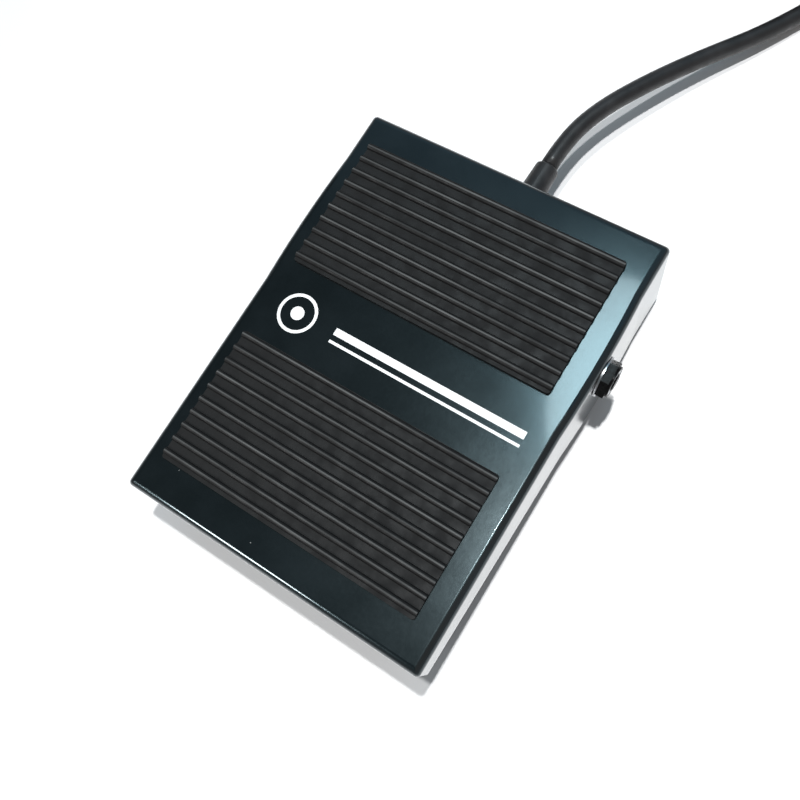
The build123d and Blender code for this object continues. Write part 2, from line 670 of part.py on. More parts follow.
with BuildPart() as switch_bracket:
    with BuildSketch(Plane.XZ.offset(-SWITCH_REAR)):
        with Locations((BRACKET_LEFT + SHEET / 2, (PAN_FLOOR + 17.5) / 2)):
            Rectangle(SHEET, 17.5 - PAN_FLOOR)
        with Locations((BRACKET_LEFT - 4.2, PAN_FLOOR + SHEET / 2)):
            Rectangle(10.8, SHEET)
    extrude(amount=SWITCH_LENGTH)
    through_switch(BRACKET_LEFT, SWITCH_LEFT, SWITCH_HOLES, 1.15, Mode.SUBTRACT)
    with Locations(*[(x, y, PAN_FLOOR + SHEET) for x, y in BRACKET_SCREWS]):
        Hole(SCREW_M3 + CLEAR, depth=2 * SHEET)
switch_bracket.part.label = "switch_bracket"
export_step(switch_bracket.part, "parts/switch_bracket.step")

with BuildPart() as switch_screws:
    through_switch(SWITCH_RIGHT, SWITCH_RIGHT + 1.3, SWITCH_HOLES, 2.0)
    fillet(switch_screws.faces().sort_by(Axis.X)[-1].edges(), 0.5)
    through_switch(BRACKET_LEFT - 1.9, SWITCH_RIGHT, SWITCH_HOLES, 1.1)
switch_screws.part.label = "switch_screws"
export_step(switch_screws.part, "parts/switch_screws.step")

with BuildPart() as switch_nuts:
    with BuildSketch(Plane.YZ.offset(BRACKET_LEFT - 1.6)):
        with Locations(*SWITCH_HOLES):
            RegularPolygon(2.3, 6)
            Circle(1.1 + CLEAR, mode=Mode.SUBTRACT)
    extrude(amount=1.6)
switch_nuts.part.label = "switch_nuts"
export_step(switch_nuts.part, "parts/switch_nuts.step")

with BuildPart() as bracket_screws:
    with Locations(*[(x, y, PAN_FLOOR + SHEET) for x, y in BRACKET_SCREWS]):
        add(revolve(fastener_profile(2.6, 1.7, SCREW_M3, 3.2), axis=Axis.Z, mode=Mode.PRIVATE))
bracket_screws.part.label = "bracket_screws"
export_step(bracket_screws.part, "parts/bracket_screws.step")

# --- Lead inside the pan ------------------------------------------------------------------------
with BuildPart() as strain_relief:
    relief_plane = turning_plane((GLAND_X, 0, GLAND_Z), (0, 1, 0))
    with BuildSketch(relief_plane):
        Polygon(
            (PAN_REAR - SHEET - 2.2, CORD_RADIUS + CLEAR),
            (PAN_REAR - SHEET - 2.2, 4.1),
            (PAN_REAR - SHEET, 4.1),
            (PAN_REAR - SHEET, GLAND_NECK),
            (PAN_REAR, GLAND_NECK),
            (PAN_REAR, 4.4),
            (PAN_REAR + 1.6, 4.4),
            (PAN_REAR + 2.2, 3.1),
            (GLAND_END, 2.7),
            (GLAND_END, CORD_RADIUS + CLEAR),
            align=None,
        )
    revolve(axis=Axis((GLAND_X, 0, GLAND_Z), (0, 1, 0)))
    rim = strain_relief.edges().group_by(Axis.Y)[-1].sort_by(SortBy.RADIUS)[-1]
    fillet(rim, 0.35)
strain_relief.part.label = "strain_relief"
export_step(strain_relief.part, "parts/strain_relief.step")


def tube(name, points, radius):
    """Lead or wire: straight runs joined by tangent arcs through the given points."""
    with BuildPart() as swept:
        with BuildLine() as path:
            FilletPolyline(*points, radius=corner_radii(name, points))
        with BuildSketch(Plane(origin=path.line @ 0, z_dir=path.line % 0)):
            Circle(radius)
        sweep()
    report_tube(name, swept.part, path.line, radius)
    return swept


LEAD_INSIDE = (
    (GLAND_X, GLAND_END, GLAND_Z),
    (GLAND_X, 34.5, GLAND_Z),
    (GLAND_X, 21.5, CLAMP_CORD_Z),
    (GLAND_X, JACKET_END, CLAMP_CORD_Z),
)
cord_inner = tube("cord_inner", LEAD_INSIDE, CORD_RADIUS)
cord_inner.part.label = "cord_inner"
export_step(cord_inner.part, "parts/cord_inner.step")

WIRE_RADIUS = 0.6
SOLDER_X = SWITCH_X + 1.6
SOLDER_Z = 5.6
SIGNAL_ROUTE = (
    (GLAND_X - 0.9, JACKET_END, CLAMP_CORD_Z),
    (-1.9, 3.9, CLAMP_CORD_Z),
    (-5.0, 3.7, SOLDER_Z),
    (SOLDER_X, TERMINAL_YS[0], SOLDER_Z),
)
signal_wire = tube("signal_wire", SIGNAL_ROUTE, WIRE_RADIUS)
signal_wire.part.label = "signal_wire"
export_step(signal_wire.part, "parts/signal_wire.step")

SHIELD_ROUTE = (
    (GLAND_X + 0.9, JACKET_END, CLAMP_CORD_Z),
    (2.0, 1.2, CLAMP_CORD_Z),
    (0.2, -4.2, SOLDER_Z),
    (-3.6, -8.2, SOLDER_Z),
    (SOLDER_X, TERMINAL_YS[2], SOLDER_Z),
)
shield_wire = tube("shield_wire", SHIELD_ROUTE, WIRE_RADIUS)
shield_wire.part.label = "shield_wire"
export_step(shield_wire.part, "parts/shield_wire.step")

STRAP = 0.8
STRAP_BORE = CORD_RADIUS + 0.1
with BuildPart() as cord_clamp:
    with BuildSketch(Plane.XZ.offset(-CLAMP_Y[1])):
        with Locations((GLAND_X, CLAMP_CORD_Z)):
            Circle(STRAP_BORE + STRAP)
        with Locations((GLAND_X, (PAN_FLOOR + CLAMP_CORD_Z) / 2)):
            Rectangle(2 * (STRAP_BORE + STRAP), CLAMP_CORD_Z - PAN_FLOOR)
        with Locations((GLAND_X, PAN_FLOOR + STRAP / 2)):
            Rectangle(19, STRAP)
        with Locations((GLAND_X, CLAMP_CORD_Z)):
            Circle(STRAP_BORE, mode=Mode.SUBTRACT)
        with Locations((GLAND_X, (PAN_FLOOR + CLAMP_CORD_Z) / 2)):
            Rectangle(2 * STRAP_BORE, CLAMP_CORD_Z - PAN_FLOOR, mode=Mode.SUBTRACT)
    extrude(amount=CLAMP_Y[1] - CLAMP_Y[0])
    split(bisect_by=Plane.XY.offset(PAN_FLOOR), keep=Keep.TOP)
    with Locations(*[(x, y, PAN_FLOOR + STRAP) for x, y in CLAMP_SCREWS]):
        Hole(SCREW_M3 + CLEAR, depth=2 * STRAP)
cord_clamp.part.label = "cord_clamp"
export_step(cord_clamp.part, "parts/cord_clamp.step")

with BuildPart() as clamp_screws:
    with Locations(*[(x, y, PAN_FLOOR + STRAP) for x, y in CLAMP_SCREWS]):
        add(revolve(fastener_profile(2.5, 1.7, SCREW_M3, 2.8), axis=Axis.Z, mode=Mode.PRIVATE))
clamp_screws.part.label = "clamp_screws"
export_step(clamp_screws.part, "parts/clamp_screws.step")

# --- Lead, coil and plug ------------------------------------------------------------------------
cord_tube = tube("cord_tube", LEAD_OUT, CORD_RADIUS)
cord_tube.part.label = "cord_tube"
export_step(cord_tube.part, "parts/cord_tube.step")

cord_tail = tube("cord_tail", LEAD_TAIL, CORD_RADIUS)
cord_tail.part.label = "cord_tail"
export_step(cord_tail.part, "parts/cord_tail.step")

with BuildPart() as cord_coil:
    with BuildSketch(Plane.XY.offset(COIL_BOTTOM)):
        with Locations((COIL_X, COIL_Y)):
            Circle(COIL_OUTER)
            Circle(COIL_INNER, mode=Mode.SUBTRACT)
    extrude(amount=COIL_TOP - COIL_BOTTOM)
    fillet(cord_coil.edges().filter_by(GeomType.CIRCLE), 1.6)
cord_coil.part.label = "cord_coil"
export_step(cord_coil.part, "parts/cord_coil.step")

# A strap round the coil's left side
TIE_GAP = 0.7
with BuildPart() as coil_tie:
    tie_width = COIL_OUTER - COIL_INNER + 2 * TIE_GAP
    tie_height = COIL_TOP - COIL_BOTTOM + 0.1
    tie_centre = (COIL_X - (COIL_OUTER + COIL_INNER) / 2, (COIL_TOP + COIL_BOTTOM) / 2)
    with BuildSketch(Plane.XZ.offset(-COIL_Y - TIE_WIDTH / 2)):
        with Locations(tie_centre):
            RectangleRounded(tie_width + 2 * TIE_THICKNESS, tie_height + 2 * TIE_THICKNESS, 2.0)
            RectangleRounded(tie_width, tie_height, 1.2, mode=Mode.SUBTRACT)
    extrude(amount=TIE_WIDTH)
coil_tie.part.label = "coil_tie"
export_step(coil_tie.part, "parts/coil_tie.step")

# The plug lies along the tail's last run, on the floor
PLUG_START = Vector(*LEAD_TAIL[-1])
PLUG_DIRECTION = Vector(
    LEAD_TAIL[-1][0] - LEAD_TAIL[-2][0],
    LEAD_TAIL[-1][1] - LEAD_TAIL[-2][1],
    0,
).normalized()
BOOT_END = 11.0
HANDLE_END = 38.0
HANDLE_RADIUS = 6.2
SHAFT_RADIUS = 3.175
SHAFT_END = HANDLE_END + 30.5
print("plug heading", round(degrees(atan2(PLUG_DIRECTION.Y, PLUG_DIRECTION.X)), 2))
print("plug shaft starts at", PLUG_START + PLUG_DIRECTION * HANDLE_END)


def plug_piece(outline):
    """Turned piece on the plug's axis."""
    return turned(outline, PLUG_START, PLUG_DIRECTION)


plug_boot = plug_piece(((0, 0), (0, 2.7), (1, 3.0), (BOOT_END - 1, 4.6), (BOOT_END, 4.6), (BOOT_END, 0)))
plug_boot.part.label = "plug_boot"
export_step(plug_boot.part, "parts/plug_boot.step")

handle_outline = [(BOOT_END, 0), (BOOT_END, 5.0), (BOOT_END + 1.4, HANDLE_RADIUS)]
for groove in range(4):
    start = BOOT_END + 6 + 3.2 * groove
    handle_outline += [
        (start, HANDLE_RADIUS),
        (start + 0.4, HANDLE_RADIUS - 0.5),
        (start + 1.2, HANDLE_RADIUS - 0.5),
        (start + 1.6, HANDLE_RADIUS),
    ]
handle_outline += [(HANDLE_END - 1, HANDLE_RADIUS), (HANDLE_END, HANDLE_RADIUS - 1), (HANDLE_END, 0)]
plug_handle = plug_piece(handle_outline)
plug_handle.part.label = "plug_handle"
export_step(plug_handle.part, "parts/plug_handle.step")

SLEEVE_END = HANDLE_END + 22.3
plug_sleeve = plug_piece(
    (
        (HANDLE_END, 0),
        (HANDLE_END, 4.7),
        (HANDLE_END + 1.5, 4.7),
        (HANDLE_END + 1.5, SHAFT_RADIUS),
        (SLEEVE_END, SHAFT_RADIUS),
        (SLEEVE_END, 0),
    )
)
plug_sleeve.part.label = "plug_sleeve"
export_step(plug_sleeve.part, "parts/plug_sleeve.step")

RING_END = SLEEVE_END + 1.3
plug_insulator = plug_piece(
    ((SLEEVE_END, 0), (SLEEVE_END, SHAFT_RADIUS - 0.3), (RING_END, SHAFT_RADIUS - 0.3), (RING_END, 0))
)
plug_insulator.part.label = "plug_insulator"
export_step(plug_insulator.part, "parts/plug_insulator.step")

plug_tip = plug_piece(
    (
        (RING_END, 0),
        (RING_END, SHAFT_RADIUS),
        (RING_END + 1.2, SHAFT_RADIUS),
        (RING_END + 2.4, 2.1),
        (RING_END + 3.2, SHAFT_RADIUS),
        (SHAFT_END - 0.6, 1.1),
        (SHAFT_END, 0.5),
        (SHAFT_END, 0),
    )
)
plug_tip.part.label = "plug_tip"
export_step(plug_tip.part, "parts/plug_tip.step")
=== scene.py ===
import json
import math

import bpy
from mathutils import Matrix, Vector


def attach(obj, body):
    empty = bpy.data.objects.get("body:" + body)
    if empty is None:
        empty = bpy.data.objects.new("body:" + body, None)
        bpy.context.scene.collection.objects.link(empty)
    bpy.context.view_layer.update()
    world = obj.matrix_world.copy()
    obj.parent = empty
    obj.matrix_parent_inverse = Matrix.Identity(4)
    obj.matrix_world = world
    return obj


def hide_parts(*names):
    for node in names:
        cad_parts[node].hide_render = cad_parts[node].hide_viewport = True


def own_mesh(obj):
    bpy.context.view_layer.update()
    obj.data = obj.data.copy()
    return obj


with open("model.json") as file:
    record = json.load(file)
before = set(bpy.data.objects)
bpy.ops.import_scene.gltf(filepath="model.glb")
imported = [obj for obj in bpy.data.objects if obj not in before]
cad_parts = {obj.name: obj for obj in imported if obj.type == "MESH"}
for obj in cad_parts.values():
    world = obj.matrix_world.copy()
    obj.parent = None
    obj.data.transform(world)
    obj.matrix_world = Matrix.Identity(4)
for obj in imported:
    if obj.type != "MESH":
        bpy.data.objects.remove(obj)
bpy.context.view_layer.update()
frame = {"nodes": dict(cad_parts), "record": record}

# The pieces made here, the lead's route and the camera's place are given in millimetres, and are
# turned into metres where each is made.
MM = 0.001

# Sizes of the CAD model that the pieces made here are fitted to.
PLATE_TOP = 25.5
PAD_TOP = 27.0


# --- Camera -----------------------------------------------------------------------------------
CAMERA_PLACE = (53.49, -30.17, 181.67)
CAMERA_FORWARD = (-0.2942, 0.1507, -0.9438)
CAMERA_UP = (-0.4697, 0.8372, 0.2801)
CAMERA_LENS = 38.25
CAMERA_SENSOR = 36.0


def make_camera():
    """Looks down on the tread from its right, turned so that the plate stands at a slant."""
    data = bpy.data.cameras.new("camera")
    data.sensor_width = CAMERA_SENSOR
    data.lens = CAMERA_LENS
    data.clip_start = 0.005
    forward = Vector(CAMERA_FORWARD).normalized()
    up = Vector(CAMERA_UP)
    up = (up - forward * up.dot(forward)).normalized()
    right = forward.cross(up)
    camera = bpy.data.objects.new("camera", data)
    turn = Matrix((right, up, -forward)).transposed().to_4x4()
    camera.matrix_world = Matrix.Translation(Vector(CAMERA_PLACE) * MM) @ turn
    bpy.context.scene.collection.objects.link(camera)
    bpy.context.scene.camera = camera


make_camera()

# --- The lead ---------------------------------------------------------------------------------
CORD_DIAMETER = 4.0
LEAD_OUT = (
    (1.0, 58.6, 12.0),
    (1.0, 66.4, 12.0),
    (3.6, 76.6, 11.3),
    (9.2, 88.4, 9.5),
    (16.6, 101.4, 6.9),
    (25.6, 114.8, 4.4),
    (33.6, 129.2, 3.1),
    (38.7, 141.2, 2.95),
    (39.6, 149.8, 2.95),
)
LEAD_TAIL = (
    (39.6, 160.0, 15.2),
    (39.6, 169.0, 14.0),
    (37.6, 180.6, 11.1),
    (31.2, 191.2, 8.0),
    (21.5, 198.0, 6.3),
    (12.5, 203.2, 6.3),
)
COIL_CENTRE = (14.0, 158.0)
COIL_RADII = (25.6, 21.5, 17.4)
COIL_LAYERS = (2.95, 7.05, 11.15, 15.25)
TURN_POINTS = 16
CLIMB_BOW = 2.0  # how far a turn that climbs a layer swings clear of its neighbours
STEP_SECTOR = (281.0, 349.0)  # where each turn moves over to its next place, in degrees


def smooth(t):
    """Rises from 0 to 1 with level ends."""
    t = min(max(t, 0.0), 1.0)
    return t * t * (3 - 2 * t)


def coil_places():
    """Radius and height of each turn in the order it was wound: inwards, outwards, and so on."""
    places = []
    for layer, z in enumerate(COIL_LAYERS):
        radii = COIL_RADII if layer % 2 == 0 else COIL_RADII[::-1]
        places += [(radius, z) for radius in radii]
    return places


def coil_points():
    """Control points of the twelve turns, each just outside the round that it is to follow."""
    places = coil_places()
    points = []
    for turn, (radius, z) in enumerate(places):
        next_radius, next_z = places[min(turn + 1, len(places) - 1)]
        climbs = next_z != z
        bow = CLIMB_BOW if radius == COIL_RADII[0] else -CLIMB_BOW
        for k in range(TURN_POINTS):
            angle = 360.0 * (k + 0.5) / TURN_POINTS
            t = (angle - STEP_SECTOR[0]) / (STEP_SECTOR[1] - STEP_SECTOR[0])
            r = radius + (next_radius - radius) * smooth(t)
            if climbs and 0 < t < 1:
                r += bow * math.sin(math.pi * t)
            r /= math.cos(math.pi / TURN_POINTS)
            a = math.radians(angle)
            x = COIL_CENTRE[0] + r * math.cos(a)
            y = COIL_CENTRE[1] + r * math.sin(a)
            points.append((x, y, z + (next_z - z) * smooth(t)))
    return points


def spline_points(name, points):
    """The points of the smooth spline that runs through the neighbourhood of these points."""
    curve = bpy.data.curves.new(name, "CURVE")
    curve.dimensions = "3D"
    spline = curve.splines.new("NURBS")
    spline.points.add(len(points) - 1)
    for point, place in zip(spline.points, points):
        point.co = (*(Vector(place) * MM), 1.0)
    spline.order_u = 3
    spline.use_endpoint_u = True
    spline.resolution_u = 6
    route = bpy.data.objects.new(name, curve)
    mesh = bpy.data.meshes.new_from_object(route)
    places = [vertex.co.copy() for vertex in mesh.vertices]
    bpy.data.meshes.remove(mesh)
    bpy.data.objects.remove(route)
    bpy.data.curves.remove(curve)
    return places


# --- Material helpers -------------------------------------------------------------------------
class Surface:
    """A node material around one Principled shader. Places are the piece's own, in metres."""

    def __init__(self, name, colour, roughness, metallic=0.0, coat=0.0, coat_roughness=0.1):
        self.material = bpy.data.materials.new(name)
        self.material.use_nodes = True
        self.tree = self.material.node_tree
        self.shader = self.tree.nodes["Principled BSDF"]
        self.colour = (*colour, 1.0)
        self.roughness = roughness
        self.normal = None
        self.shader.inputs["Metallic"].default_value = metallic
        self.shader.inputs["Coat Weight"].default_value = coat
        self.shader.inputs["Coat Roughness"].default_value = coat_roughness
        self.place = self.tree.nodes.new("ShaderNodeTexCoord").outputs["Object"]

    def node(self, kind, output, sockets, **settings):
        made = self.tree.nodes.new(kind)
        for key, value in settings.items():
            setattr(made, key, value)
        for key, value in sockets.items():
            self.wire(value, made.inputs[key])
        return made.outputs[output]

    def wire(self, value, socket):
        if isinstance(value, bpy.types.NodeSocket):
            self.tree.links.new(value, socket)
        else:
            socket.default_value = value

    def stretched(self, factors):
        sockets = {"Vector": self.place, "Scale": factors}
        return self.node("ShaderNodeMapping", "Vector", sockets)

    def noise(self, scale, detail=3.0, roughness=0.5, place=None):
        sockets = {
            "Vector": place or self.place,
            "Scale": scale,
            "Detail": detail,
            "Roughness": roughness,
        }
        return self.node("ShaderNodeTexNoise", "Fac", sockets)

    def math(self, operation, first, second):
        return self.node("ShaderNodeMath", 0, {0: first, 1: second}, operation=operation)

    def span(self, value, low, high, to_low=0.0, to_high=1.0):
        sockets = {
            "Value": value,
            "From Min": low,
            "From Max": high,
            "To Min": to_low,
            "To Max": to_high,
        }
        return self.node("ShaderNodeMapRange", "Result", sockets, interpolation_type="SMOOTHSTEP")

    def axis(self, name):
        return self.node("ShaderNodeSeparateXYZ", name, {"Vector": self.place})

    def mix_colour(self, factor, other):
        made = self.tree.nodes.new("ShaderNodeMix")
        made.data_type = "RGBA"
        self.wire(factor, made.inputs["Factor"])
        self.wire(self.colour, made.inputs[6])
        self.wire((*other, 1.0), made.inputs[7])
        self.colour = made.outputs[2]

    def add_bump(self, height, distance, strength=1.0):
        sockets = {"Height": height, "Distance": distance, "Strength": strength}
        if self.normal is not None:
            sockets["Normal"] = self.normal
        self.normal = self.node("ShaderNodeBump", "Normal", sockets)

    def specks(self, scale, radius, share, colour):
        """Sparse round flecks of dust: one small dot in a share of the cells."""
        cells = self.tree.nodes.new("ShaderNodeTexVoronoi")
        self.wire(self.place, cells.inputs["Vector"])
        cells.inputs["Scale"].default_value = scale
        near = self.span(cells.outputs["Distance"], radius * 0.6, radius, 1.0, 0.0)
        sockets = {"Vector": cells.outputs["Color"]}
        lot = self.node("ShaderNodeSeparateXYZ", "X", sockets)
        picked = self.math("GREATER_THAN", lot, 1.0 - share)
        self.mix_colour(self.math("MULTIPLY", near, picked), colour)

    def done(self):
        self.wire(self.colour, self.shader.inputs["Base Color"])
        self.wire(self.roughness, self.shader.inputs["Roughness"])
        if self.normal is not None:
            self.wire(self.normal, self.shader.inputs["Normal"])
        return self.material


def paint(name, colour, gloss, peel):
    """Sprayed enamel: a faint orange peel, handling haze in the gloss, a few flecks of dust."""
    s = Surface(name, colour, gloss, coat=0.45, coat_roughness=0.06)
    s.shader.inputs["Specular Tint"].default_value = (0.70, 0.93, 1.0, 1.0)
    lighter = [channel * 1.9 + 0.001 for channel in colour]
    s.mix_colour(s.span(s.noise(55, 5, 0.6), 0.35, 0.75), lighter)
    s.specks(190, 0.03, 0.06, (0.20, 0.21, 0.21))
    haze = s.noise(38, 7, 0.65)
    grain = s.noise(1500, 2)
    hazy = s.span(haze, 0.3, 0.8, gloss, gloss + 0.05)
    s.roughness = s.math("ADD", hazy, s.span(grain, 0, 1, 0, 0.03))
    s.add_bump(s.noise(620, 2), 0.00003, peel)
    s.add_bump(s.noise(70, 2), 0.00006, peel)
    return s.done()


def rubber(name, colour, dusty, highlight_band=None):
    """Moulded rubber: a matt grain, chalky patches, and where given a painted highlight: a lighter
    band at the top of its height.
    """
    s = Surface(name, colour, 0.6)
    s.shader.inputs["Specular IOR Level"].default_value = 0.28
    bloom = s.span(s.noise(120, 6, 0.65), 0.42, 0.8, 0.0, dusty)
    s.mix_colour(bloom, (0.085, 0.088, 0.085))
    if highlight_band:
        # Painted highlight: the top of each rib is lightened, broken up by streaks, to stand for the
        # thin lines of light along the crests.
        crest_highlight = s.span(s.axis("Z"), highlight_band[0] * MM, highlight_band[1] * MM)
        streaks = s.noise(1.0, 4, 0.6, s.stretched((40, 900, 900)))
        crest_highlight = s.math("MULTIPLY", crest_highlight, s.span(streaks, 0.3, 0.7, 0.15, 0.85))
        s.mix_colour(crest_highlight, (0.11, 0.115, 0.115))
        s.add_bump(streaks, 0.00004, 0.5)
    s.roughness = s.span(s.noise(300, 4), 0.3, 0.7, 0.48, 0.7)
    s.add_bump(s.noise(2600, 3, 0.7), 0.00004, 0.6)
    return s.done()


def metal(name, colour, roughness, grain, tarnish, cloud=0.35):
    """Plated or drawn metal: cloudy plating, fine grain along its making, soft scratches."""
    s = Surface(name, colour, roughness, metallic=1.0)
    s.mix_colour(s.span(s.noise(420, 5, 0.7), 0.45, 0.85, 0.0, cloud), tarnish)
    lines = s.noise(900, 3, 0.6, s.stretched(grain))
    s.roughness = s.span(lines, 0.3, 0.7, roughness * 0.75, roughness * 1.35)
    s.add_bump(lines, 0.000012, 0.5)
    s.add_bump(s.noise(3200, 2), 0.000006, 0.5)
    return s.done()


def plastic(name, colour, roughness, pore=1800, tint=1.5):
    """Moulded plastic: a spark-eroded grain and slightly uneven colour and sheen."""
    s = Surface(name, colour, roughness)
    s.mix_colour(s.span(s.noise(160, 5), 0.4, 0.8), [min(1.0, c * tint + 0.002) for c in colour])
    s.roughness = s.span(s.noise(500, 4), 0.3, 0.7, roughness * 0.85, roughness * 1.2)
    s.add_bump(s.noise(pore, 3, 0.6), 0.00002, 0.6)
    return s.done()


def strap_fabric(name, colour):
    """Hook-and-loop tape: a woven ground under a fuzzy nap."""
    s = Surface(name, colour, 0.85)
    s.shader.inputs["Sheen Weight"].default_value = 0.25
    s.shader.inputs["Sheen Roughness"].default_value = 0.5
    weave = s.node("ShaderNodeTexVoronoi", "Distance", {"Vector": s.place, "Scale": 1500.0})
    s.mix_colour(s.span(weave, 0.2, 0.8), [c * 3.2 for c in colour])
    s.add_bump(weave, 0.00018, 0.8)
    s.add_bump(s.noise(4000, 4, 0.7), 0.00008, 0.7)
    return s.done()


def stranded(name, colour, tarnish):
    """Twisted fine copper strands, from bands that run round the wire at a slant."""
    s = Surface(name, colour, 0.35, metallic=1.0)
    sockets = {"Vector": s.place, "Scale": 900.0, "Distortion": 0.4}
    bands = s.node("ShaderNodeTexWave", "Fac", sockets, bands_direction="DIAGONAL")
    s.mix_colour(s.span(bands, 0.0, 0.45, 0.8, 0.0), tarnish)
    s.roughness = s.span(bands, 0, 1, 0.45, 0.28)
    s.add_bump(bands, 0.00012)
    return s.done()


def ink(name, colour):
    """Screen-printed enamel: nearly even, with pinholes and a soft sheen."""
    s = Surface(name, colour, 0.4)
    s.mix_colour(s.span(s.noise(900, 4, 0.7), 0.55, 0.9, 0.0, 0.6), [c * 0.72 for c in colour])
    s.roughness = s.span(s.noise(700, 3), 0.3, 0.7, 0.32, 0.5)
    s.add_bump(s.noise(1600, 2), 0.00002, 0.5)
    return s.done()


def blackened(name, colour, roughness):
    """Steel with a black oxide finish: dark, oily, worn a little brighter in places."""
    s = Surface(name, colour, roughness)
    s.shader.inputs["Specular IOR Level"].default_value = 0.06
    s.mix_colour(s.span(s.noise(380, 5, 0.7), 0.55, 0.9, 0.0, 0.4), [c * 5 for c in colour])
    s.roughness = s.span(s.noise(900, 3), 0.3, 0.7, roughness * 0.8, roughness * 1.3)
    s.add_bump(s.noise(1700, 3, 0.6), 0.00002, 0.6)
    return s.done()


EVEN = (1, 1, 1)
DRAWN_X = (0.06, 1, 1)
DRAWN_Y = (1, 0.15, 1)
DRAWN_Z = (1, 1, 0.1)
BLACK_RUBBER = (0.0042, 0.0043, 0.0046)
# Height band of the painted highlight along the rib crests.
RIB_CREST_HIGHLIGHT = (PAD_TOP - 0.04, PAD_TOP)
MATERIALS = {
    "black_gloss_paint": paint("black_gloss_paint", (0.0024, 0.0036, 0.0044), 0.15, 0.16),
    "pan_paint": paint("pan_paint", (0.008, 0.009, 0.010), 0.26, 0.5),
    "black_rubber": rubber("black_rubber", BLACK_RUBBER, 0.02, RIB_CREST_HIGHLIGHT),
    "soft_rubber": rubber("soft_rubber", (0.018, 0.018, 0.019), 0.4),
    "zinc_steel": metal("zinc_steel", (0.60, 0.61, 0.63), 0.30, DRAWN_Y, (0.42, 0.42, 0.40)),
    "black_steel": blackened("black_steel", (0.004, 0.004, 0.0043), 0.24),
    "spring_steel": metal("spring_steel", (0.44, 0.45, 0.47), 0.24, DRAWN_X, (0.20, 0.17, 0.13)),
    "white_nylon": plastic("white_nylon", (0.60, 0.62, 0.63), 0.42, 2200, 1.08),
    "switch_black": plastic("switch_black", (0.014, 0.014, 0.015), 0.45, 1500, 1.8),
    "button_red": plastic("button_red", (0.36, 0.02, 0.018), 0.28, 2600, 1.15),
    "contact_brass": metal("contact_brass", (0.70, 0.52, 0.26), 0.28, DRAWN_Z, (0.34, 0.22, 0.10)),
    "pvc_black": plastic("pvc_black", (0.0085, 0.0085, 0.009), 0.42, 1400, 2.0),
    "wire_red": plastic("wire_red", (0.38, 0.02, 0.02), 0.4, 2000, 1.2),
    "wire_bare": stranded("wire_bare", (0.72, 0.40, 0.24), (0.18, 0.08, 0.04)),
    "tie_fabric": strap_fabric("tie_fabric", (0.012, 0.012, 0.013)),
    "plug_body": plastic("plug_body", (0.010, 0.010, 0.0105), 0.5, 900, 2.0),
    "nickel": metal("nickel", (0.70, 0.68, 0.63), 0.14, EVEN, (0.50, 0.46, 0.38), 0.5),
    "plug_black": plastic("plug_black", (0.010, 0.010, 0.010), 0.35),
}
WHITE_INK = ink("white_ink", (0.78, 0.80, 0.81))


def finish_with(piece, slot):
    """Gives a new piece the material of one of the record's slots."""
    piece.data.materials.clear()
    piece.data.materials.append(MATERIALS[slot])


for subpart in frame["record"]["subparts"]:
    node = frame["nodes"][subpart["node"]]
    node.data.materials.clear()
    node.data.materials.append(MATERIALS[subpart["material_slot"]])


# --- Mesh helpers -----------------------------------------------------------------------------
def mesh_object(name, vertices, faces, body, slot=None, shade_smooth=True):
    """A mesh given in millimetres, riding on a body."""
    mesh = bpy.data.meshes.new(name)
    mesh.from_pydata([Vector(v) * MM for v in vertices], [], faces)
    mesh.validate()
    mesh.polygons.foreach_set("use_smooth", [shade_smooth] * len(mesh.polygons))
    made = bpy.data.objects.new(name, mesh)
    bpy.context.scene.collection.objects.link(made)
    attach(made, body)
    if slot:
        finish_with(made, slot)
    return made


def swept(path, radius, sides=14):
    """Vertices and faces of a round tube with closed ends along a list of points."""
    vertices, faces = [], []
    side = None
    for i, point in enumerate(path):
        ahead = Vector(path[min(i + 1, len(path) - 1)])
        behind = Vector(path[max(i - 1, 0)])
        along = (ahead - behind).normalized()
        if side is None:
            side = along.orthogonal()
        side = (side - along * side.dot(along)).normalized()
        other = along.cross(side)
        for k in range(sides):
            a = 2 * math.pi * k / sides
            offset = (side * math.cos(a) + other * math.sin(a)) * radius
            vertices.append(Vector(point) + offset)
    for i in range(len(path) - 1):
        for k in range(sides):
            a, b = i * sides + k, i * sides + (k + 1) % sides
            faces.append((a, b, b + sides, a + sides))
    last = (len(path) - 1) * sides
    faces.append(tuple(range(sides - 1, -1, -1)))
    faces.append(tuple(range(last, last + sides)))
    return vertices, faces


# --- Lead's sheath ----------------------------------------------------------------------------
lead_path = spline_points("lead_route", LEAD_OUT + tuple(coil_points()) + LEAD_TAIL)
lead_middle = [place / MM for place in lead_path]
lead = mesh_object("lead", *swept(lead_middle, CORD_DIAMETER / 2, 20), "base", "pvc_black")
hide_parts("cord_tube", "cord_coil", "cord_tail")


# --- Return spring ----------------------------------------------------------------------------
SPRING_CENTRE = (0.0, -27.0)
SPRING_SPAN = (4.45, 24.25)
SPRING_WIRE = 0.6  # the wire's radius
SPRING_RADIUS = 5.6
SPRING_TURNS = 7
TURN_STEPS = 36
CLOSED_GAP = 0.05  # between the wires of a closed turn


def spring_height(turn):
    """Height of the wire's middle: a closed turn lies flat at each end."""
    low, high = SPRING_SPAN[0] + SPRING_WIRE, SPRING_SPAN[1] - SPRING_WIRE
    closed = 2 * SPRING_WIRE + CLOSED_GAP
    if turn < 1:
        return low + closed * 0.5 * smooth(turn)
    if turn > SPRING_TURNS - 1:
        return high - closed * 0.5 * smooth(SPRING_TURNS - turn)
    share = (turn - 1) / (SPRING_TURNS - 2)
    return low + closed * 0.5 + (high - low - closed) * share


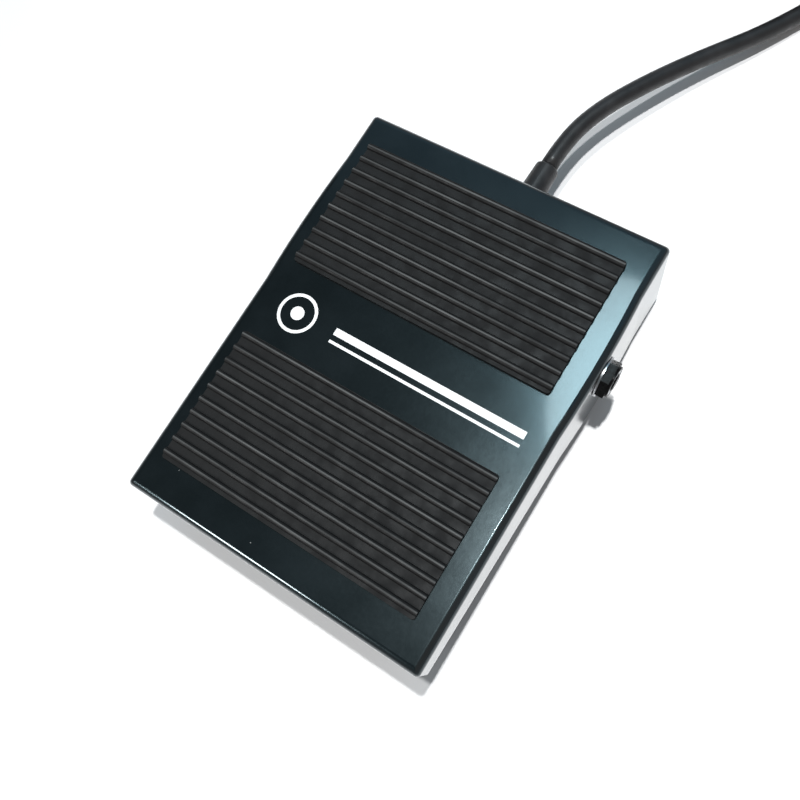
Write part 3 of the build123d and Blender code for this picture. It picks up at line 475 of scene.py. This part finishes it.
def make_spring():
    """A wire spring with a closed turn lying flat at each end, given a mesh of its own."""
    path = []
    for k in range(SPRING_TURNS * TURN_STEPS + 1):
        turn = k / TURN_STEPS
        a = 2 * math.pi * turn
        x = SPRING_CENTRE[0] + SPRING_RADIUS * math.cos(a)
        y = SPRING_CENTRE[1] + SPRING_RADIUS * math.sin(a)
        path.append((x, y, spring_height(turn)))
    spring = mesh_object("spring_wire", *swept(path, SPRING_WIRE, 12), "base", "spring_steel")
    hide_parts("return_spring")
    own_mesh(spring)


make_spring()


# --- Strap round the coil ---------------------------------------------------------------------
def rounded_loop(half_width, half_height, corner, steps=7):
    """Points of a rounded rectangle round the origin, counterclockwise from its right side."""
    points = []
    for cx, cy, start in ((1, 1, 0), (-1, 1, 90), (-1, -1, 180), (1, -1, 270)):
        for k in range(steps + 1):
            a = math.radians(start + 90 * k / steps)
            x = cx * (half_width - corner) + corner * math.cos(a)
            y = cy * (half_height - corner) + corner * math.sin(a)
            points.append((x, y))
    return points


STRAP_HALF_WIDTH = 4.5
STRAP_THICKNESS = 0.75
STRAP_BEVEL = 0.25  # width of the sloping edge on each side
STRAP_RISE = 0.1  # how far the outer face rises across that edge, and the inner face half as far
STRAP_INNER = (6.55, 8.3, 2.4)  # half width, half height and corner radius of each loop
STRAP_OUTER = (7.45, 9.2, 3.1)
STRAP_TONGUE = 14  # points of the outer loop that the tongue covers


def make_strap():
    """One turn of tape round the coil's left side, and a tongue that lies on it across the top."""
    centre_x = COIL_CENTRE[0] - COIL_RADII[1]
    centre_z = (COIL_LAYERS[0] + COIL_LAYERS[-1]) / 2
    route = rounded_loop(*STRAP_INNER) + rounded_loop(*STRAP_OUTER)[:STRAP_TONGUE]
    edge, inset = STRAP_HALF_WIDTH, STRAP_HALF_WIDTH - STRAP_BEVEL
    low, top = STRAP_THICKNESS - STRAP_RISE, STRAP_THICKNESS
    lift = STRAP_RISE / 2
    under = [(-edge, 0), (-inset, lift), (inset, lift), (edge, 0)]
    over = [(edge, low), (inset, top), (-inset, top), (-edge, low)]
    section = under + over
    count = len(section)
    vertices, faces = [], []
    for i, (x, z) in enumerate(route):
        ahead = Vector(route[min(i + 1, len(route) - 1)])
        behind = Vector(route[max(i - 1, 0)])
        along = (ahead - behind).normalized()
        out = Vector((along.y, -along.x))
        for y, height in section:
            place = Vector((x, z)) + out * height
            vertices.append((centre_x + place.x, COIL_CENTRE[1] + y, centre_z + place.y))
    for i in range(len(route) - 1):
        for k in range(count):
            a, b = i * count + k, i * count + (k + 1) % count
            faces.append((b, a, a + count, b + count))
    last = (len(route) - 1) * count
    faces.append(tuple(range(count)))
    faces.append(tuple(range(last + count - 1, last - 1, -1)))
    strap = mesh_object("coil_strap", vertices, faces, "base", "tie_fabric")
    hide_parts("coil_tie")
    return strap


strap = make_strap()

# --- Print on the tread -----------------------------------------------------------------------
INK = (PLATE_TOP - 0.01, PLATE_TOP + 0.03)  # bottom and top of the ink
RING_X = -23.8
BAR_SPAN = (-14.6, 29.4)


def slab(name, outline, hole=()):
    """A thin layer of ink with a given outline, and at most one hole with as many points."""
    count = len(outline)
    vertices = [(*p, z) for z in INK for p in (*outline, *hole)]
    top = count + len(hole)
    faces = []
    if not hole:
        faces.append(tuple(range(count - 1, -1, -1)))
        faces.append(tuple(range(top, top + count)))
    for k in range(count):
        a, b = k, (k + 1) % count
        faces.append((a, b, top + b, top + a))
        if hole:
            faces.append((top + a, top + b, top + count + b, top + count + a))
            faces.append((b, a, count + a, count + b))
            faces.append((count + b, count + a, top + count + a, top + count + b))
    made = mesh_object(name, vertices, faces, "tread", None, False)
    made.data.materials.append(WHITE_INK)
    return made


def circle(radius, count=64):
    """A round outline about the ring's centre."""
    angles = [2 * math.pi * k / count for k in range(count)]
    return [(RING_X + radius * math.cos(a), radius * math.sin(a)) for a in angles]


def bar(y0, y1):
    """A straight bar beside the ring."""
    x0, x1 = BAR_SPAN
    return [(x0, y0), (x1, y0), (x1, y1), (x0, y1)]


slab("print_ring", circle(4.4), circle(3.7))
slab("print_dot", circle(1.5))
slab("print_band_wide", bar(-0.3, 1.3))
slab("print_band_thin", bar(-2.1, -1.5))


# --- Surroundings -----------------------------------------------------------------------------
FLOOR_REACH = 3.0  # metres from the middle to each side


def make_floor():
    mesh = bpy.data.meshes.new("floor")
    square = ((-1, -1), (1, -1), (1, 1), (-1, 1))
    corners = [(x * FLOOR_REACH, y * FLOOR_REACH, 0) for x, y in square]
    mesh.from_pydata(corners, [], [(0, 1, 2, 3)])
    floor = bpy.data.objects.new("floor", mesh)
    bpy.context.scene.collection.objects.link(floor)
    surface = Surface("pale_floor", (0.88, 0.885, 0.89), 0.45)
    surface.roughness = surface.span(surface.noise(60, 3), 0.3, 0.7, 0.4, 0.5)
    mesh.materials.append(surface.done())


def make_light(name, kind, strength, place, target, **settings):
    """A light that stands at a place and shines at a target."""
    data = bpy.data.lights.new(name, kind)
    data.energy = strength
    for key, value in settings.items():
        setattr(data, key, value)
    light = bpy.data.objects.new(name, data)
    aim = Vector(target) - Vector(place)
    turn = aim.to_track_quat("-Z", "Y").to_matrix().to_4x4()
    light.matrix_world = Matrix.Translation(place) @ turn
    bpy.context.scene.collection.objects.link(light)
    return light


def make_world():
    """Soft studio light: neutral low down, cool from the rear, dim on the left, warm on the right."""
    world = bpy.data.worlds.new("studio")
    world.use_nodes = True
    bpy.context.scene.world = world
    tree = world.node_tree
    background = tree.nodes["Background"]
    coordinates = tree.nodes.new("ShaderNodeTexCoord")
    split = tree.nodes.new("ShaderNodeSeparateXYZ")
    tree.links.new(coordinates.outputs["Generated"], split.inputs[0])

    def span(socket, low, high):
        made = tree.nodes.new("ShaderNodeMapRange")
        made.interpolation_type = "SMOOTHSTEP"
        tree.links.new(socket, made.inputs["Value"])
        made.inputs["From Min"].default_value = low
        made.inputs["From Max"].default_value = high
        return made.outputs["Result"]

    def mix(factor, first, second):
        made = tree.nodes.new("ShaderNodeMix")
        made.data_type = "RGBA"
        tree.links.new(factor, made.inputs["Factor"])
        for socket, value in ((made.inputs[6], first), (made.inputs[7], second)):
            if isinstance(value, bpy.types.NodeSocket):
                tree.links.new(value, socket)
            else:
                socket.default_value = (*value, 1.0)
        return made.outputs[2]

    left = mix(span(split.outputs["X"], -0.56, -0.25), (0.05, 0.065, 0.065), (0.13, 0.17, 0.18))
    right = mix(span(split.outputs["X"], 0.0, 0.35), left, (0.40, 0.35, 0.33))
    rear = mix(span(split.outputs["Y"], 0.2, 0.50), right, (0.26, 0.40, 0.50))
    side = mix(span(split.outputs["Z"], 0.2, 0.6), (0.40, 0.40, 0.41), rear)
    tree.links.new(side, background.inputs["Color"])
    background.inputs["Strength"].default_value = 0.9


make_floor()
make_world()
make_light("key", "SUN", 1.15, (-0.018, 0.09, 1.0), (0, 0, 0), angle=math.radians(2.5))
lamp = make_light(
    "lamp", "AREA", 1.5, (0.036, 0.041, 0.422), (0.0, 0.0, 0.0), shape="DISK", size=0.014
)
lamp.visible_glossy = False  # it throws the front shadow and is not to show in the paint
front_left = make_light(
    "front_left", "AREA", 4.0, (-0.304, -0.60, 0.58), (0.0, -0.045, 0.025),
    shape="ELLIPSE", size=0.20, size_y=0.20,
)
rear_soft = make_light(
    "rear_soft", "AREA", 0.72, (-0.019, 0.184, 0.60), (0.040, 0.014, 0.025),
    shape="ELLIPSE", size=0.10, size_y=0.20, color=(0.72, 0.93, 1.0),
)
# These two show in reflections only.
for sheen in (front_left, rear_soft):
    sheen.visible_diffuse = False

bpy.context.scene.view_settings.view_transform = "Standard"
